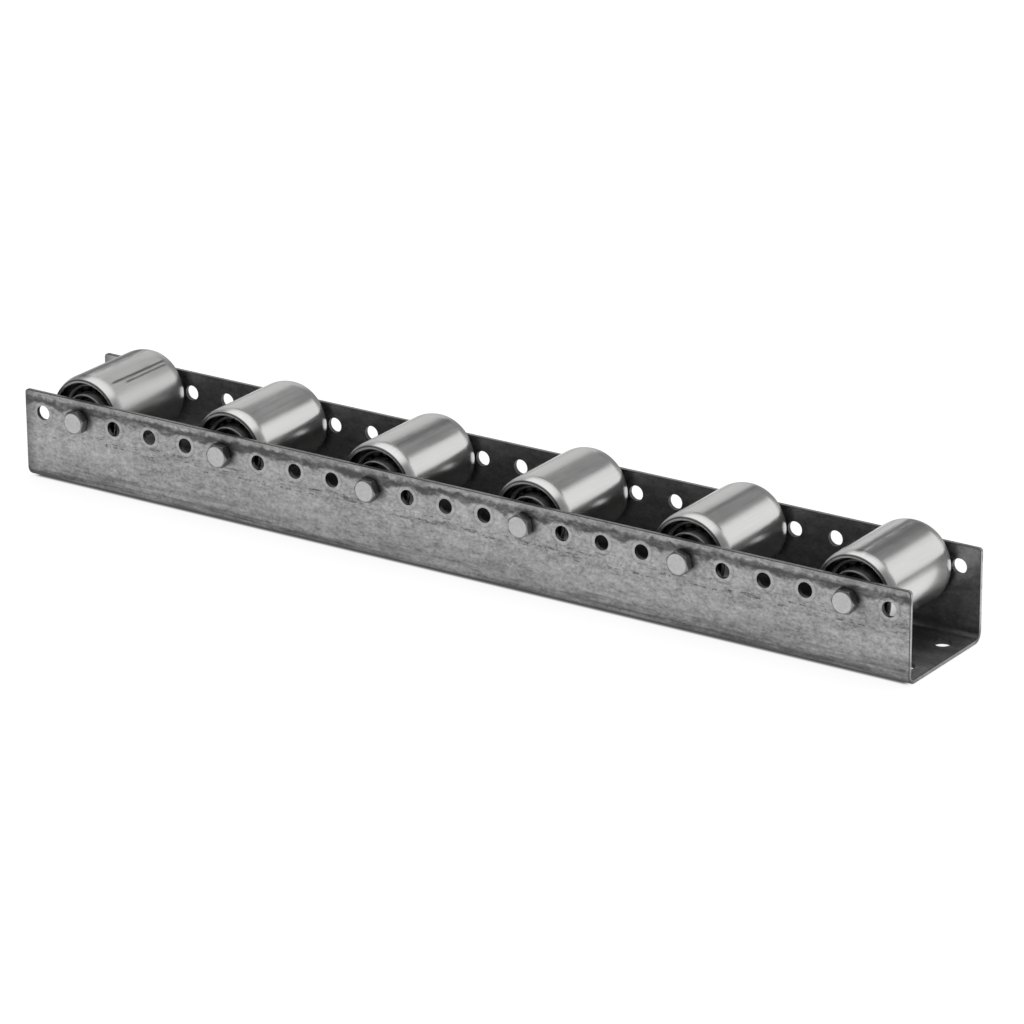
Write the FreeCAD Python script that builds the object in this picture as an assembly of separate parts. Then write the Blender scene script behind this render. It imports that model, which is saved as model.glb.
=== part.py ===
import FreeCAD, Part
import math
import os

# Flow rack roller track: a folded sheet channel with steel rollers on through bolts.
# Frame: X along the track, Y across it from the bolt heads to the nuts, Z up.
# The origin is at the middle of the underside of the channel.

# Channel: stations are the places where both flanges have a hole for a roller bolt
station_pitch = 25.4
station_count = 23
end_margin = 12.7
channel_width = 76.2
channel_height = 53.0
sheet = 2.5
bend_inside_radius = 3.5
flange_corner_radius = 2.0
axle_below_edge = 12.36
flange_hole_diameter = 8.7
base_hole_diameter = 9.5
base_hole_spacing = 38.1

# Rollers: the first stands on station 1 and the others follow at every fourth station
first_roller_station = 1
roller_every = 4
roller_diameter = 48.26
roller_wall = 2.0
roller_end_gap = 3.6
crown_length = 7.7
crown_drop = 1.8
lip_edge_radius = 0.35

# Ball bearing in each end of a roller: a cup in the tube, a cone on the sleeve, loose balls
ball_diameter = 6.35
ball_spacing_gap = 0.4
ball_clearance = 0.08
ball_depth = 12.0
race_half_width = 3.5
cup_front_to_balls = 6.8
cup_wall = 3.45
cup_shoulder_height = 0.9
cup_lip_radius = 1.6
cup_face_slope = 3.4
cone_shoulder_height = 1.5
cone_rim_depth = 1.0
cone_rim_wall = 1.4
cone_web = 0.8
cone_hub_wall = 1.6
seat_gap = 0.03

# Axle: a bolt through both flanges and a sleeve that keeps the flanges apart
bolt_diameter = 7.94
bolt_past_nut = 5.95
bolt_tip_chamfer = 0.9
sleeve_outside_diameter = 14.0
sleeve_bore_clearance = 0.28
hex_across_flats = 12.7
hex_face_diameter = 11.8
bolt_head_height = 5.2
washer_face_height = 0.4
nut_height = 6.75
hex_corner_slope = math.radians(30)
thread_gap = 0.02
head_turns = [15, 56, 55, 35, 43, 0]

# Sizes that follow from the ones above
channel_length = (station_count - 1) * station_pitch + 2 * end_margin
inside_width = channel_width - 2 * sheet
axle_height = channel_height - axle_below_edge
roller_stations = range(first_roller_station, station_count, roller_every)
roller_radius = roller_diameter / 2
roller_bore_radius = roller_radius - roller_wall
roller_length = inside_width - 2 * roller_end_gap
crown_lean = math.atan2(crown_drop, crown_length)
crown_radius = math.hypot(crown_length, crown_drop) / 2 / math.sin(crown_lean)
barrel_angle = math.pi / 2
lip_angle = barrel_angle + 2 * crown_lean
sleeve_radius = sleeve_outside_diameter / 2
bolt_radius = bolt_diameter / 2
ball_radius = ball_diameter / 2
groove_radius = ball_radius + ball_clearance
cup_depth = ball_depth - cup_front_to_balls
ball_circle_radius = roller_bore_radius - seat_gap - cup_wall - groove_radius

along = FreeCAD.Vector(1, 0, 0)
across = FreeCAD.Vector(0, 1, 0)
up = FreeCAD.Vector(0, 0, 1)


def station_x(station):
    return end_margin + station * station_pitch - channel_length / 2


def line(start, end):
    return Part.LineSegment(start, end).toShape()


def arc(start, through, end):
    return Part.Arc(start, through, end).toShape()


def outline(steps):
    # Joins points in the plane of the outline; a step with two points is an arc through the first
    edges = []
    last = steps[0]
    for step in steps[1:] + [steps[0]]:
        if isinstance(step, tuple):
            edges.append(arc(last, step[0], step[1]))
            last = step[1]
        else:
            edges.append(line(last, step))
            last = step
    return Part.Face(Part.Wire(edges))


def section_point(depth, radius):
    # A place in the section of a turned piece, with its seam at the bottom
    return FreeCAD.Vector(0, depth, -radius)


def turned(steps):
    return outline(steps).revolve(FreeCAD.Vector(0, 0, 0), across, 360)


def facing_rear(piece):
    return piece.mirror(FreeCAD.Vector(0, 0, 0), across)


# Channel

def channel_profile():
    # The folded sheet seen along X, walked round from the top of the front flange
    side = channel_width / 2
    inner_side = side - sheet
    outer_bend = bend_inside_radius + sheet
    bend_at = side - outer_bend
    slant = math.sqrt(0.5)

    def place(y, z):
        return FreeCAD.Vector(-channel_length / 2, y, z)

    def bend(side_sign, radius):
        return place(side_sign * (bend_at + radius * slant), outer_bend - radius * slant)

    return outline([
        place(-side, channel_height),
        place(-side, outer_bend),
        (bend(-1, outer_bend), place(-bend_at, 0)),
        place(bend_at, 0),
        (bend(1, outer_bend), place(side, outer_bend)),
        place(side, channel_height),
        place(inner_side, channel_height),
        place(inner_side, outer_bend),
        (bend(1, bend_inside_radius), place(bend_at, sheet)),
        place(-bend_at, sheet),
        (bend(-1, bend_inside_radius), place(-inner_side, outer_bend)),
        place(-inner_side, channel_height),
    ])


def flange_corners(channel):
    # The four corners at the top ends of the flanges, which run across the sheet
    close = sheet / 10
    corners = []
    for edge in channel.Edges:
        box = edge.BoundBox
        at_end = abs(abs(box.Center.x) - channel_length / 2) < close
        at_top = abs(box.Center.z - channel_height) < close
        if at_end and at_top and box.XLength < close:
            corners.append(edge)
    return corners


def flange_holes():
    holes = []
    for station in range(station_count):
        start = FreeCAD.Vector(station_x(station), -channel_width, axle_height)
        holes.append(Part.makeCylinder(flange_hole_diameter / 2, 2 * channel_width, start, across))
    return holes


def base_holes():
    holes = []
    for station in (0, station_count - 1):
        for side_sign in (-1, 1):
            start = FreeCAD.Vector(station_x(station), side_sign * base_hole_spacing / 2, -sheet)
            holes.append(Part.makeCylinder(base_hole_diameter / 2, 3 * sheet, start, up))
    return holes


def channel():
    folded = channel_profile().extrude(along * channel_length)
    rounded = folded.makeFillet(flange_corner_radius, flange_corners(folded))
    return rounded.cut(flange_holes() + base_holes())


# Roller tube, whose ends are rolled inwards over the bearing cups

def crown_centre():
    # Depth and radius of the centre of the arc that runs from the barrel to the lip
    edge_angle = lip_angle - lip_edge_radius / crown_radius
    edge_centre = crown_radius - lip_edge_radius
    return lip_edge_radius - edge_centre * math.cos(edge_angle), roller_radius - crown_radius


def crown_place(radius, angle):
    centre_depth, centre_radius = crown_centre()
    return centre_depth + radius * math.cos(angle), centre_radius + radius * math.sin(angle)


def crown_bore_radius(depth):
    centre_depth, centre_radius = crown_centre()
    inside = crown_radius - roller_wall
    return centre_radius + math.sqrt(inside ** 2 - (depth - centre_depth) ** 2)


def rolled_end():
    # Depths and radii along one end: the crown, the lip with its two rounded edges, the inside
    inside = crown_radius - roller_wall
    turn = lip_edge_radius / crown_radius
    nearly = lip_edge_radius * (1 - math.sqrt(0.5))
    nearly_turn = nearly / crown_radius
    return [
        crown_place(crown_radius, barrel_angle),
        crown_place(crown_radius, (barrel_angle + lip_angle) / 2),
        crown_place(crown_radius, lip_angle - turn),
        crown_place(crown_radius - nearly, lip_angle - nearly_turn),
        crown_place(crown_radius - lip_edge_radius, lip_angle),
        crown_place(inside + lip_edge_radius, lip_angle),
        crown_place(inside + nearly, lip_angle - nearly_turn),
        crown_place(inside, lip_angle - turn),
        crown_place(inside, (barrel_angle + lip_angle) / 2),
        crown_place(inside, barrel_angle),
    ]


def roller_tube():
    end = rolled_end()
    front = [section_point(depth, radius) for depth, radius in end]
    rear = [section_point(roller_length - depth, radius) for depth, radius in end]
    tube = turned([
        front[0],
        (front[1], front[2]),
        (front[3], front[4]),
        front[5],
        (front[6], front[7]),
        (front[8], front[9]),
        rear[9],
        (rear[8], rear[7]),
        (rear[6], rear[5]),
        rear[4],
        (rear[3], rear[2]),
        (rear[1], rear[0]),
    ])
    tube.translate(across * (-roller_length / 2))
    return tube


# Bearing in one end of a roller; depths run inwards from the end of the tube

def groove_edge(shoulder):
    # How far from the balls' centre plane the groove cuts a shoulder of this height
    return math.sqrt(groove_radius ** 2 - shoulder ** 2)


def cup():
    seat = roller_bore_radius - seat_gap
    corner = crown_bore_radius(cup_depth) - seat_gap
    seat_depth, _ = crown_centre()
    shoulder = ball_circle_radius + cup_shoulder_height
    edge = groove_edge(cup_shoulder_height)
    lip = cup_lip_radius
    return turned([
        section_point(seat_depth, seat),
        section_point(cup_depth, corner),
        section_point(cup_depth, shoulder + cup_face_slope),
        section_point(cup_depth + lip, shoulder + lip),
        (section_point(cup_depth + lip * (2 - math.sqrt(0.5)), shoulder + lip * (1 - math.sqrt(0.5))),
         section_point(cup_depth + 2 * lip, shoulder)),
        section_point(ball_depth - edge, shoulder),
        (section_point(ball_depth, ball_circle_radius + groove_radius),
         section_point(ball_depth + edge, shoulder)),
        section_point(ball_depth + race_half_width, shoulder),
        section_point(ball_depth + race_half_width, seat),
    ])


def cone():
    bore = sleeve_radius + seat_gap
    hub = bore + cone_hub_wall
    rim = ball_circle_radius - cone_shoulder_height
    edge = groove_edge(cone_shoulder_height)
    groove_side = ball_depth - groove_radius
    floor_depth = groove_side - cone_web
    rounding = cone_rim_wall / 2
    return turned([
        section_point(-roller_end_gap, bore),
        section_point(-roller_end_gap, hub),
        section_point(floor_depth, hub),
        section_point(floor_depth, rim - cone_rim_wall),
        section_point(cone_rim_depth + rounding, rim - cone_rim_wall),
        (section_point(cone_rim_depth, rim - rounding),
         section_point(cone_rim_depth + rounding, rim)),
        section_point(ball_depth - edge, rim),
        (section_point(ball_depth, ball_circle_radius - groove_radius),
         section_point(ball_depth + edge, rim)),
        section_point(ball_depth + race_half_width, rim),
        section_point(ball_depth + race_half_width, bore),
    ])


def ball_ring():
    count = int(2 * math.pi * ball_circle_radius / (ball_diameter + ball_spacing_gap))
    balls = []
    for number in range(count):
        ball = Part.makeSphere(ball_radius)
        ball.translate(FreeCAD.Vector(0, ball_depth, ball_circle_radius))
        ball.rotate(FreeCAD.Vector(0, 0, 0), across, 360 * number / count)
        balls.append(ball)
    return Part.makeCompound(balls)


def in_roller_front(piece):
    moved = piece.copy()
    moved.translate(across * (-roller_length / 2))
    return moved


def in_roller_rear(piece):
    return facing_rear(in_roller_front(piece))


# Axle

def sleeve():
    start = across * (-inside_width / 2)
    bore = bolt_radius + sleeve_bore_clearance
    outside = Part.makeCylinder(sleeve_radius, inside_width, start, across)
    return outside.cut(Part.makeCylinder(bore, inside_width, start, across))


def hex_prism(height, turn):
    corner = hex_across_flats / 2 / math.cos(math.pi / 6)
    corners = []
    for number in range(7):
        angle = math.radians(turn + 60 * number)
        corners.append(FreeCAD.Vector(corner * math.cos(angle), 0, corner * math.sin(angle)))
    return Part.Face(Part.makePolygon(corners)).extrude(across * height)


def hex_rounding(height, both_ends):
    # A turned body that takes the corners off a hexagon's end, or off both
    flat = hex_face_diameter / 2
    beyond = hex_across_flats
    fall = (beyond - flat) * math.tan(hex_corner_slope)
    steps = [
        section_point(0, 0),
        section_point(0, flat),
        section_point(fall, beyond),
        section_point(height, beyond),
        section_point(height, 0),
    ]
    if both_ends:
        steps[3:4] = [section_point(height - fall, beyond), section_point(height, flat)]
    return turned(steps)


def bolt(turn):
    head_top = -channel_width / 2 - bolt_head_height
    hexagon_height = bolt_head_height - washer_face_height
    hexagon = hex_prism(hexagon_height, turn).common(hex_rounding(hexagon_height, False))
    hexagon.translate(across * head_top)
    face_start = across * (-channel_width / 2 - washer_face_height)
    washer_face = Part.makeCylinder(hex_across_flats / 2, washer_face_height, face_start, across)
    length = channel_width + nut_height + bolt_past_nut
    shank = turned([
        section_point(0, 0),
        section_point(0, bolt_radius),
        section_point(length - bolt_tip_chamfer, bolt_radius),
        section_point(length, bolt_radius - bolt_tip_chamfer),
        section_point(length, 0),
    ])
    shank.translate(across * (-channel_width / 2))
    return hexagon.fuse([washer_face, shank]).removeSplitter()


def nut(turn):
    body = hex_prism(nut_height, turn).common(hex_rounding(nut_height, True))
    hole = Part.makeCylinder(bolt_radius + thread_gap, nut_height, FreeCAD.Vector(0, 0, 0), across)
    threaded = body.cut(hole)
    threaded.translate(across * (channel_width / 2))
    return threaded


# Export, one piece to a file

def export(shape, name):
    solids = shape.Solids
    for solid in solids:
        assert solid.isValid() and solid.Volume > 0, name
    (solids[0] if len(solids) == 1 else Part.makeCompound(solids)).exportStep(f"parts/{name}.step")


def at_station(piece, station):
    moved = piece.copy()
    moved.translate(FreeCAD.Vector(station_x(station), 0, axle_height))
    return moved


os.makedirs("parts", exist_ok=True)
export(channel(), "channel")

both_ball_rings = Part.makeCompound([in_roller_front(ball_ring()), in_roller_rear(ball_ring())])
repeated = {
    "roller_{}_tube": roller_tube(),
    "roller_{}_front_cup": in_roller_front(cup()),
    "roller_{}_rear_cup": in_roller_rear(cup()),
    "roller_{}_balls": both_ball_rings,
    "axle_{}_front_cone": in_roller_front(cone()),
    "axle_{}_rear_cone": in_roller_rear(cone()),
    "axle_{}_sleeve": sleeve(),
}
for number, station in enumerate(roller_stations, start=1):
    for name, piece in repeated.items():
        export(at_station(piece, station), name.format(number))
    turn = head_turns[(number - 1) % len(head_turns)]
    export(at_station(bolt(turn), station), f"axle_{number}_bolt")
    export(at_station(nut(turn), station), f"axle_{number}_nut")
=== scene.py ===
import math

import bpy
from mathutils import Matrix, Vector


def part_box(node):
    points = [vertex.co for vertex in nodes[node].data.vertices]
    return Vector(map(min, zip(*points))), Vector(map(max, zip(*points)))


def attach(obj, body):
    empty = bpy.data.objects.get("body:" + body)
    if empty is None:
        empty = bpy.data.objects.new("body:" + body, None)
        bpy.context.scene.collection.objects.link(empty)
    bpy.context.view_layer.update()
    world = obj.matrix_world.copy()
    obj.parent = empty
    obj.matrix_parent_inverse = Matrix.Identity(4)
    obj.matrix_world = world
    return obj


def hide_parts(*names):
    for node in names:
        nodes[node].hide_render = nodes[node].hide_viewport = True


# Flow rack roller track: folded zinc-coated channel, six steel rollers on through bolts

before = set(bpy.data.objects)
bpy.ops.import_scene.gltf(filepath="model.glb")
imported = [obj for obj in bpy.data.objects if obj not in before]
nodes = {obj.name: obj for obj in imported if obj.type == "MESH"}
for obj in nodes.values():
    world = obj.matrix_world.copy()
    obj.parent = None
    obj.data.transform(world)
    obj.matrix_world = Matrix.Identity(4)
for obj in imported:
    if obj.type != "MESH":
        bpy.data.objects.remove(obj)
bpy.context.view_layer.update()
mm = 0.001
print("frame loaded:", len(nodes), "nodes")

# Sizes of the solids that their boxes don't give
track = {
    "holePitch": 25.4 * mm,
    "holeCount": 23,
    "holeRadius": 4.35 * mm,
    "rollerPitch": 101.6 * mm,
    "rollerCount": 6,
    "innerSide": 35.6 * mm,
    "baseHoleX": 279.4 * mm,
    "baseHoleY": 19.05 * mm,
    "baseHoleRadius": 4.75 * mm,
}
channelLow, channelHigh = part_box("channel")
boltLow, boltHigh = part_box("axle_1_bolt")
nutLow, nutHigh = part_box("axle_1_nut")
axleHeight = (boltLow.z + boltHigh.z) / 2


# Small helpers for node trees

def addNode(tree, kind, **values):
    node = tree.nodes.new(kind)
    for name, value in values.items():
        setattr(node, name, value)
    return node


def plug(tree, source, node, socket):
    # A source is either an output socket or a plain number, vector or colour
    target = node.inputs[socket]
    if isinstance(source, bpy.types.NodeSocket):
        tree.links.new(source, target)
    else:
        target.default_value = source
    return node


def math2(tree, operation, first, second=0.0, third=None, clamp=False):
    node = addNode(tree, "ShaderNodeMath", operation=operation, use_clamp=clamp)
    plug(tree, first, node, 0)
    plug(tree, second, node, 1)
    if third is not None:
        plug(tree, third, node, 2)
    return node.outputs[0]


def plus(tree, first, second):
    return math2(tree, "ADD", first, second)


def minus(tree, first, second):
    return math2(tree, "SUBTRACT", first, second)


def times(tree, first, *others):
    product = first
    for factor in others:
        product = math2(tree, "MULTIPLY", product, factor)
    return product


def remap(tree, value, low, high, outLow=0.0, outHigh=1.0, smooth=True):
    node = addNode(tree, "ShaderNodeMapRange", clamp=True)
    node.interpolation_type = "SMOOTHSTEP" if smooth else "LINEAR"
    for socket, source in zip(("Value", "From Min", "From Max", "To Min", "To Max"),
                              (value, low, high, outLow, outHigh)):
        plug(tree, source, node, socket)
    return node.outputs["Result"]


def fading(tree, value, start, end):
    return remap(tree, value, start, end, 1.0, 0.0)


def between(tree, value, start, full, fade, end):
    # 1 from full to fade, and 0 before the start and past the end
    return times(tree, remap(tree, value, start, full), fading(tree, value, fade, end))


def atLeast(tree, least, mask):
    # A mask that starts from the least value and not from 0
    return math2(tree, "MULTIPLY_ADD", mask, 1.0 - least, least)


def separated(tree, source):
    node = addNode(tree, "ShaderNodeSeparateXYZ")
    plug(tree, source, node, 0)
    return node.outputs


def vectorMath(tree, operation, first, second=(0.0, 0.0, 0.0)):
    node = addNode(tree, "ShaderNodeVectorMath", operation=operation)
    plug(tree, first, node, 0)
    plug(tree, second, node, 1)
    return node.outputs


def distance(tree, first, second):
    squares = plus(tree, times(tree, first, first), times(tree, second, second))
    return math2(tree, "SQRT", squares)


def mixColour(tree, factor, first, second, blend="MIX"):
    node = addNode(tree, "ShaderNodeMix", data_type="RGBA", blend_type=blend, clamp_factor=True)
    plug(tree, factor, node, 0)
    plug(tree, first, node, 6)  # the colours of a mix are in 6 and 7, its result in 2
    plug(tree, second, node, 7)
    return node.outputs[2]


def grey(value, warm=0.0):
    return (value * (1 + warm), value, value * (1 - warm), 1.0)


def tinted(tree, colour, mask, value, *strengths):
    # The colour turned to a grey by the mask times any strengths
    return mixColour(tree, times(tree, mask, *strengths), colour, grey(value))


def noise(tree, vector, scale, detail, roughness):
    node = addNode(tree, "ShaderNodeTexNoise")
    plug(tree, vector, node, "Vector")
    plug(tree, scale, node, "Scale")
    plug(tree, detail, node, "Detail")
    plug(tree, roughness, node, "Roughness")
    return node.outputs["Fac"]


def newGroup(name, inputs, outputs):
    group = bpy.data.node_groups.new(name, "ShaderNodeTree")
    for label, kind, value in inputs:
        socket = group.interface.new_socket(name=label, in_out="INPUT", socket_type="NodeSocket" + kind)
        if value is not None:
            socket.default_value = value
    for label, kind in outputs:
        group.interface.new_socket(name=label, in_out="OUTPUT", socket_type="NodeSocket" + kind)
    return group, addNode(group, "NodeGroupInput").outputs, addNode(group, "NodeGroupOutput")


def useGroup(tree, group, **values):
    node = addNode(tree, "ShaderNodeGroup", node_tree=group)
    for name, value in values.items():
        plug(tree, value, node, name)
    return node.outputs


# Effects that several finishes share

def nearestStationGroup():
    # How far a point is along the track from the nearest place of a row, and that place's number
    group, given, end = newGroup(
        "nearestStation",
        [("Vector", "Vector", None), ("Pitch", "Float", track["holePitch"]),
         ("Count", "Float", float(track["holeCount"]))],
        [("Offset", "Float"), ("Number", "Float")])
    halfRow = times(group, given["Count"], 0.5)
    steps = math2(group, "DIVIDE", separated(group, given["Vector"])["X"], given["Pitch"])
    fromStart = plus(group, steps, halfRow)
    number = math2(group, "FLOOR", fromStart)
    inCell = minus(group, minus(group, fromStart, number), 0.5)
    plug(group, times(group, inCell, given["Pitch"]), end, "Offset")
    plug(group, number, end, "Number")
    return group


def grainGroup():
    # Fine grain that can be drawn out along one direction, around a half
    group, given, end = newGroup(
        "metalGrain",
        [("Vector", "Vector", None), ("Stretch", "Vector", (1.0, 1.0, 1.0)), ("Scale", "Float", 900.0),
         ("Contrast", "Float", 0.3), ("Seed", "Float", 0.0)],
        [("Grain", "Float")])
    drawn = vectorMath(group, "MULTIPLY", given["Vector"], given["Stretch"])[0]
    shifted = vectorMath(group, "ADD", drawn, given["Seed"])[0]
    fine = noise(group, shifted, given["Scale"], detail=4.0, roughness=0.6)
    scaled = times(group, minus(group, fine, 0.5), given["Contrast"])
    plug(group, plus(group, scaled, 0.5), end, "Grain")
    return group


def smudgeGroup():
    # Soft patches with ragged edges, where a film of oil or dross lies
    group, given, end = newGroup(
        "smudge",
        [("Vector", "Vector", None), ("Scale", "Float", 90.0), ("Cover", "Float", 0.5),
         ("Softness", "Float", 0.12), ("Seed", "Float", 0.0)],
        [("Mask", "Float")])
    shifted = vectorMath(group, "ADD", given["Vector"], given["Seed"])[0]
    cloud = noise(group, shifted, given["Scale"], detail=6.0, roughness=0.65)
    edge = minus(group, 1.0, given["Cover"])
    low = minus(group, edge, given["Softness"])
    high = plus(group, edge, given["Softness"])
    plug(group, remap(group, cloud, low, high), end, "Mask")
    return group


def aroundAxleGroup():
    # Where a point lies about the nearest axle: its radius, its angle from the top, its roller's number
    group, given, end = newGroup(
        "aroundAxle",
        [("Vector", "Vector", None), ("Pitch", "Float", track["rollerPitch"]),
         ("Count", "Float", float(track["rollerCount"])), ("Height", "Float", axleHeight)],
        [("Radius", "Float"), ("Angle", "Float"), ("Number", "Float"), ("Along", "Float")])
    station = useGroup(group, nearestStation, Vector=given["Vector"], Pitch=given["Pitch"],
                       Count=given["Count"])
    point = separated(group, given["Vector"])
    rise = minus(group, point["Z"], given["Height"])
    plug(group, distance(group, station["Offset"], rise), end, "Radius")
    plug(group, math2(group, "ARCTAN2", station["Offset"], rise), end, "Angle")
    plug(group, station["Number"], end, "Number")
    plug(group, point["Y"], end, "Along")
    return group


def axialMarkGroup():
    # A ragged dark line along one roller, at an angle from the top, that fades out at both ends
    group, given, end = newGroup(
        "axialMark",
        [("Vector", "Vector", None), ("Angle", "Float", 0.0), ("Number", "Float", 0.0),
         ("Along", "Float", 0.0), ("Roller", "Float", 0.0), ("At", "Float", 0.0), ("Width", "Float", 0.02),
         ("Start", "Float", -0.02), ("End", "Float", 0.02)],
        [("Mask", "Float")])
    fade = 4 * mm
    onRoller = math2(group, "COMPARE", given["Number"], given["Roller"], 0.5)
    drawn = vectorMath(group, "MULTIPLY", given["Vector"], (1.0, 0.12, 1.0))[0]
    ragged = noise(group, drawn, scale=900.0, detail=4.0, roughness=0.6)
    aside = math2(group, "ABSOLUTE", minus(group, given["Angle"], given["At"]))
    reach = times(group, given["Width"], times(group, ragged, 2.0))
    narrow = fading(group, aside, 0.0, reach)
    full = plus(group, given["Start"], fade)
    fadeOut = minus(group, given["End"], fade)
    inReach = between(group, given["Along"], given["Start"], full, fadeOut, given["End"])
    plug(group, times(group, onRoller, narrow, inReach), end, "Mask")
    return group


nearestStation = nearestStationGroup()
aroundAxle = aroundAxleGroup()
axialMark = axialMarkGroup()
metalGrain = grainGroup()
smudge = smudgeGroup()


def grainAt(tree, place, **values):
    return useGroup(tree, metalGrain, Vector=place, **values)["Grain"]


def smudgesAt(tree, place, **values):
    return useGroup(tree, smudge, Vector=place, **values)["Mask"]


def rollerPlace(tree, place):
    return useGroup(tree, aroundAxle, Vector=place, Pitch=track["rollerPitch"],
                    Count=float(track["rollerCount"]), Height=axleHeight)


def holePlace(tree, place):
    return useGroup(tree, aroundAxle, Vector=place, Pitch=track["holePitch"],
                    Count=float(track["holeCount"]), Height=axleHeight)


def stretched(tree, place, scale, slant=0.0):
    # Coordinates drawn out along an axis whose scale is small, after a turn about Y
    node = addNode(tree, "ShaderNodeMapping")
    plug(tree, place, node, 0)
    plug(tree, (0.0, slant, 0.0), node, "Rotation")
    plug(tree, scale, node, "Scale")
    return node.outputs[0]


# Finishes

def newFinish(name, **sockets):
    material = bpy.data.materials.new(name)
    material.use_nodes = True
    tree = material.node_tree
    shader = tree.nodes["Principled BSDF"]
    for socket, value in sockets.items():
        shader.inputs[socket.replace("_", " ")].default_value = value
    place = addNode(tree, "ShaderNodeTexCoord").outputs["Object"]
    return material, tree, shader, place


def roughnessFrom(tree, grain, limits):
    # The grain lies mostly between 0.3 and 0.7
    return remap(tree, grain, 0.3, 0.7, *limits, smooth=False)


def giveSurface(tree, shader, colour, roughness, relief, look):
    bump = addNode(tree, "ShaderNodeBump")
    plug(tree, relief, bump, "Height")
    plug(tree, look["relief"], bump, "Strength")
    plug(tree, look["reliefDepth"], bump, "Distance")
    tree.links.new(colour, shader.inputs["Base Color"])
    tree.links.new(roughness, shader.inputs["Roughness"])
    tree.links.new(bump.outputs["Normal"], shader.inputs["Normal"])


zinc = {
    "body": 0.43,
    "spread": 0.5,  # share of the body's grey by which the mottling is darker and paler
    "mottleShares": (0.42, 0.33, 0.25),  # of the fine, the middle and the broad grain
    "calm": 0.2,  # how far from a half the grain is all dark or pale, and how much further inside
    "calmerInside": 0.14,
    "dark": 0.085,  # the dark band, the bolts' painted shade, streaks, dross and the painted shade in the trough
    "pale": 0.58,  # rings round the holes
    "holeWall": 0.10,
    "roughness": (0.36, 0.5),
    "relief": 0.3,
    "reliefDepth": 0.06 * mm,
    "ragged": 8 * mm,  # how far the edges of the bands wander up and down
    "bandLow": 42.7 * mm,
    "bandFade": 2.8 * mm,
    "bandHigh": (48.8 * mm, 51.4 * mm),
    "bandStrength": 0.95,
    "scallop": 2.6 * mm,  # how much higher the band starts over a hole
    "scallopReach": (4 * mm, 12.7 * mm),  # from the middle of the hole
    # The next three place the painted shade of each bolt head on the flange, with some oil
    "shadeAndOilLean": math.radians(50),  # clockwise from the top, seen from the front
    "shadeAndOilSpread": (-0.1, 0.8),  # cosines of the angle to the lean where it starts and is full
    "shadeAndOilReach": (6.5 * mm, 13 * mm),
    "haloRadius": 5.6 * mm,
    "haloFade": 1.2 * mm,
    "haloStrength": (0.45, 0.8),  # on dark and on pale mottling
    "haloSmudged": 0.3,
    "haloEdge": 0.22,
    "haloEdgeReach": (0.2 * mm, 0.7 * mm),
    "streakHeight": (5 * mm, 18 * mm),
    "streakAbove": 0.15,
    "streakStrength": 0.62,
    "pitStrength": 0.5,
    "dashRow": (24 * mm, 29 * mm, 33 * mm, 37 * mm),  # heights of its start, full strength, fade and end
    "dashStrength": 0.9,
    "scratchSlant": math.radians(20),
    "scratchStrength": 0.45,
    "cornerStart": 20 * mm,
    # The keys from here to the open ends set the painted shade in the trough and its folds
    "baseShade": 0.2,
    "shadeHeight": (4 * mm, 17 * mm),
    "foldAcross": (31 * mm, 34 * mm),
    "foldHeight": (4.5 * mm, 9 * mm),
    "foldShade": 0.6,
    "openEnds": (240 * mm, 280 * mm),  # from the middle, and the painted shade's strength up to and past them
    "openEndShade": (0.7, 0.1),
    "leftShade": 9 * mm,
    "leftDarkening": 0.55,
    "topShade": (50.4 * mm, 51.4 * mm),
    "topDarkening": 0.85,
    "cutTopShade": -0.3,  # painted light: how much brighter the sheared faces are, less than 0 for darker
    "cutEndLight": 0.35,
}


def zincSpot(tree, place):
    # What the stages of the finish need to know about a point of the sheet
    x, y, height = separated(tree, place)
    across = math2(tree, "ABSOLUTE", y)
    outside = remap(tree, across, track["innerSide"] + 0.5 * mm, channelHigh.y - 0.5 * mm)
    warp = grainAt(tree, place, Scale=160.0, Contrast=1.0, Seed=19.0)
    ragged = zinc["ragged"]
    fine = grainAt(tree, place, Scale=800.0, Contrast=1.6, Stretch=(0.7, 1.0, 1.0))
    middle = grainAt(tree, place, Scale=260.0, Contrast=1.6, Stretch=(0.5, 1.0, 1.0), Seed=7.0)
    broad = grainAt(tree, place, Scale=60.0, Contrast=1.5, Stretch=(0.35, 1.0, 1.0), Seed=3.0)
    shares = zinc["mottleShares"]
    mottle = plus(tree, times(tree, fine, shares[0]), times(tree, middle, shares[1]))
    wiped = stretched(tree, place, (0.4, 1.0, 1.0))
    return {
        "place": place,
        "x": x,
        "along": math2(tree, "ABSOLUTE", x),
        "across": across,
        "height": height,
        "outside": outside,
        "inside": minus(tree, 1.0, outside),
        "wavy": math2(tree, "MULTIPLY_ADD", warp, ragged, minus(tree, height, ragged / 2)),
        "mottle": math2(tree, "MULTIPLY_ADD", broad, shares[2], mottle),
        "pits": smudgesAt(tree, place, Scale=1100.0, Cover=0.26, Softness=0.05, Seed=11.0),
        "patches": smudgesAt(tree, wiped, Scale=300.0, Cover=0.60, Softness=0.2),
        "fromHole": holePlace(tree, place)["Radius"],
    }


def darkened(tree, colour, mask, *strengths):
    return tinted(tree, colour, mask, zinc["dark"], *strengths)


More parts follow.
